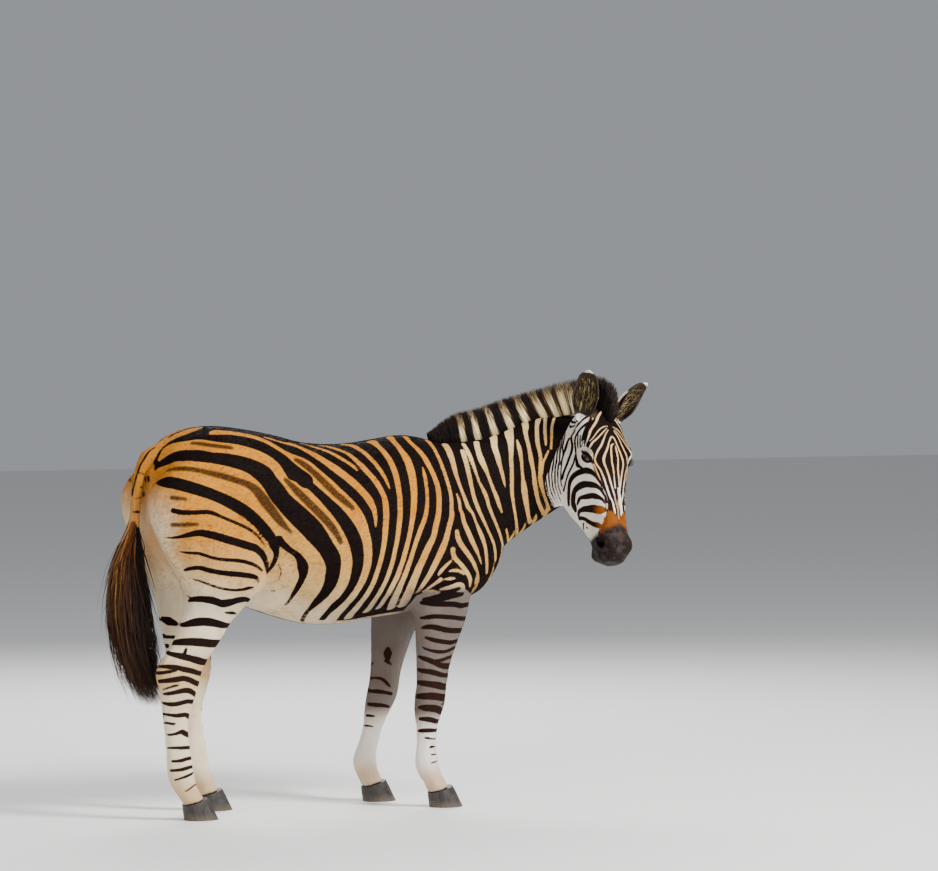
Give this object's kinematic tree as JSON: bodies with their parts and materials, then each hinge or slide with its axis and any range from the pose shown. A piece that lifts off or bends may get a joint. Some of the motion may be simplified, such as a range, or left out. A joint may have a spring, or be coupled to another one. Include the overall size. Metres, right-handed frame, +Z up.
{
  "type": "zebra",
  "caption": "Life-size plains zebra standing square with its head turned to its right, an upright mane and a tufted tail; a still museum-style model.",
  "frame": {"origin": "on the floor, under the middle of the whole animal's box", "axes": "+X from the tail towards the chest, +Y to the zebra's left, +Z up; the head is turned towards -Y"},
  "size_m": [1.9504, 0.7096, 1.5061],
  "materials": {
    "coat": "short flat hair, dark stripes on white to tan",
    "dark_hair": "coarse upright or hanging hair",
    "horn": "grey-black hoof horn",
    "eyeball": "wet dark brown"
  },
  "bodies": {
    "root": {"head": "coat", "neck": "coat", "trunk": "coat", "tail": "coat", "ear_left": "coat", "ear_right": "coat", "leg_front_left": "coat", "leg_front_right": "coat", "leg_hind_left": "coat", "leg_hind_right": "coat", "mane": "dark_hair", "tail_hair": "dark_hair", "hoof_front_left": "horn", "hoof_front_right": "horn", "hoof_hind_left": "horn", "hoof_hind_right": "horn", "eye_left": "eyeball", "eye_right": "eyeball"}
  },
  "joints": []
}
